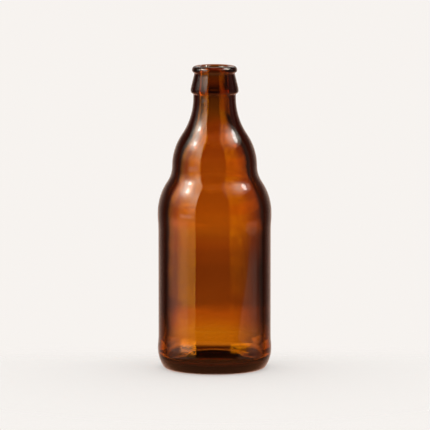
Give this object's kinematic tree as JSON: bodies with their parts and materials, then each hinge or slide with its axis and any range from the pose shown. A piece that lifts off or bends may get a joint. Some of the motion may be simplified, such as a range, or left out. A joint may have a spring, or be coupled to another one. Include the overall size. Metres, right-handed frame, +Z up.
{
  "type": "steinie beer bottle",
  "caption": "Empty amber glass beer bottle with a short neck, a bulge above a waisted shoulder, a straight body and a crown finish.",
  "frame": {"origin": "middle of the base, in the plane that the bearing ring rests on", "axes": "+Z up the axis of the bottle towards the mouth; +X and +Y level, with the two mould seams in the XZ plane"},
  "size_m": [0.0676, 0.0676, 0.1815],
  "materials": {
    "amber_glass": "polished"
  },
  "bodies": {
    "root": {"bottle": "amber_glass"}
  },
  "joints": []
}
